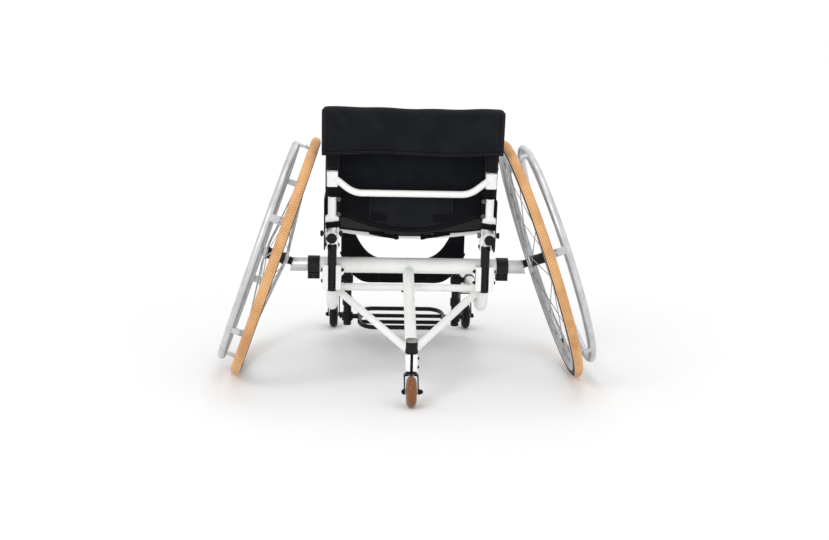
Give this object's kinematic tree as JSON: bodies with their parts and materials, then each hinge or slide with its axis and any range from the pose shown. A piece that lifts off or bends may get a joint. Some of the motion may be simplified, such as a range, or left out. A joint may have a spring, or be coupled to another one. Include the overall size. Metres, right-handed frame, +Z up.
{
  "type": "sports wheelchair",
  "caption": "Cambered rigid sports wheelchair with push rims, sling seat, folding upholstered back, sliding footrest, swivel casters and a rear anti-tip wheel.",
  "frame": {"origin": "centre of the bounding box at floor level", "axes": "+Z up, +Y forwards, +X to the sitter's right; the picture looks along +Y from behind"},
  "size_m": [0.9236, 0.84, 0.66],
  "materials": {
    "white_paint": "satin white powder coat",
    "black_paint": "satin black powder coat",
    "silver_rim": "brushed and clear anodised",
    "steel": "polished",
    "black_plastic": "fine matt grain",
    "tan_tyre": "matt tan tread",
    "black_rubber": "matt",
    "brown_urethane": "semi gloss",
    "black_fabric": "woven mesh and webbing"
  },
  "bodies": {
    "frame": {"track_clamp_left": "black_paint", "track_clamp_right": "black_paint", "side_rail_left": "white_paint", "side_rail_right": "white_paint", "anti_tip_brace_left": "white_paint", "anti_tip_brace_right": "white_paint", "strut_clamp_left": "white_paint", "strut_clamp_right": "white_paint", "front_clamp_left": "black_plastic", "front_clamp_right": "black_plastic", "camber_tube": "white_paint", "lower_cross_tube": "white_paint", "anti_tip_mast": "white_paint", "anti_tip_clamp": "white_paint", "anti_tip_bearing": "black_plastic"},
    "track_left": {"axle_insert_left": "silver_rim", "axle_left": "steel"},
    "wheel_left": {"tyre_left": "tan_tyre", "rim_left": "silver_rim", "hub_left": "silver_rim", "handrim_left": "silver_rim"},
    "button_left": {"axle_button_left": "steel"},
    "caster_fork_left": {"caster_fork_left": "black_paint"},
    "caster_wheel_left": {"caster_wheel_left": "black_rubber"},
    "track_right": {"axle_insert_right": "silver_rim", "axle_right": "steel"},
    "wheel_right": {"tyre_right": "tan_tyre", "rim_right": "silver_rim", "hub_right": "silver_rim", "handrim_right": "silver_rim"},
    "button_right": {"axle_button_right": "steel"},
    "caster_fork_right": {"caster_fork_right": "black_paint"},
    "caster_wheel_right": {"caster_wheel_right": "black_rubber"},
    "anti_tip_fork": {"anti_tip_fork": "black_paint"},
    "anti_tip_wheel": {"anti_tip_wheel": "brown_urethane"},
    "seat": {"seat_cross_bar": "white_paint", "seat_sling": "black_fabric", "calf_strap": "black_fabric", "seat_tube_left": "white_paint", "seat_tube_cap_left": "black_plastic", "seat_strut_left": "black_paint", "side_guard_left": "black_plastic", "back_pivot_left": "black_plastic", "front_leg_left": "black_paint", "seat_tube_right": "white_paint", "seat_tube_cap_right": "black_plastic", "seat_strut_right": "black_paint", "side_guard_right": "black_plastic", "back_pivot_right": "black_plastic", "front_leg_right": "black_paint"},
    "footrest": {"footplate": "black_paint", "foot_clamp_left": "black_plastic", "foot_clamp_right": "black_plastic"},
    "backrest": {"rigidizer_bar": "white_paint", "back_upholstery": "black_fabric", "back_flap": "black_fabric", "backrest_post_left": "white_paint", "backrest_post_right": "white_paint"}
  },
  "joints": [
    {"name": "track_slide_left", "type": "slide", "parent": "frame", "child": "track_left", "axis": [-1, 0, 0], "range_m": [-0.006, 0.015]},
    {"name": "wheel_spin_left", "type": "hinge", "parent": "track_left", "child": "wheel_left", "pos_m": [-0.32377, -0.08505, 0.28856], "axis": [-0.9455, 0, 0.3256], "continuous": true},
    {"name": "axle_button_press_left", "type": "slide", "parent": "track_left", "child": "button_left", "axis": [0.9455, 0, -0.3256], "range_m": [0, 0.003], "stiffness_N_per_m": 250},
    {"name": "caster_swivel_left", "type": "hinge", "parent": "frame", "child": "caster_fork_left", "pos_m": [-0.188, 0.40355, 0.099], "axis": [0, 0, 1], "continuous": true},
    {"name": "caster_spin_left", "type": "hinge", "parent": "caster_fork_left", "child": "caster_wheel_left", "pos_m": [-0.188, 0.37355, 0.036], "axis": [1, 0, 0], "continuous": true},
    {"name": "track_slide_right", "type": "slide", "parent": "frame", "child": "track_right", "axis": [1, 0, 0], "range_m": [-0.006, 0.015]},
    {"name": "wheel_spin_right", "type": "hinge", "parent": "track_right", "child": "wheel_right", "pos_m": [0.32377, -0.08505, 0.28856], "axis": [0.9455, 0, 0.3256], "continuous": true},
    {"name": "axle_button_press_right", "type": "slide", "parent": "track_right", "child": "button_right", "axis": [-0.9455, 0, -0.3256], "range_m": [0, 0.003], "stiffness_N_per_m": 250},
    {"name": "caster_swivel_right", "type": "hinge", "parent": "frame", "child": "caster_fork_right", "pos_m": [0.188, 0.40355, 0.099], "axis": [0, 0, 1], "continuous": true},
    {"name": "caster_spin_right", "type": "hinge", "parent": "caster_fork_right", "child": "caster_wheel_right", "pos_m": [0.188, 0.37355, 0.036], "axis": [1, 0, 0], "continuous": true},
    {"name": "anti_tip_swivel", "type": "hinge", "parent": "frame", "child": "anti_tip_fork", "pos_m": [0, -0.35505, 0.0755], "axis": [0, 0, 1], "continuous": true},
    {"name": "anti_tip_spin", "type": "hinge", "parent": "anti_tip_fork", "child": "anti_tip_wheel", "pos_m": [0, -0.38505, 0.035], "axis": [1, 0, 0], "continuous": true},
    {"name": "seat_height", "type": "slide", "parent": "frame", "child": "seat", "axis": [0, 0, 1], "range_m": [-0.012, 0.04]},
    {"name": "footrest_height", "type": "slide", "parent": "seat", "child": "footrest", "axis": [0, 0, 1], "range_m": [-0.006, 0.02]},
    {"name": "backrest_fold", "type": "hinge", "parent": "seat", "child": "backrest", "pos_m": [0, -0.15505, 0.35681], "axis": [-1, 0, 0], "range_deg": [0, 60]}
  ]
}
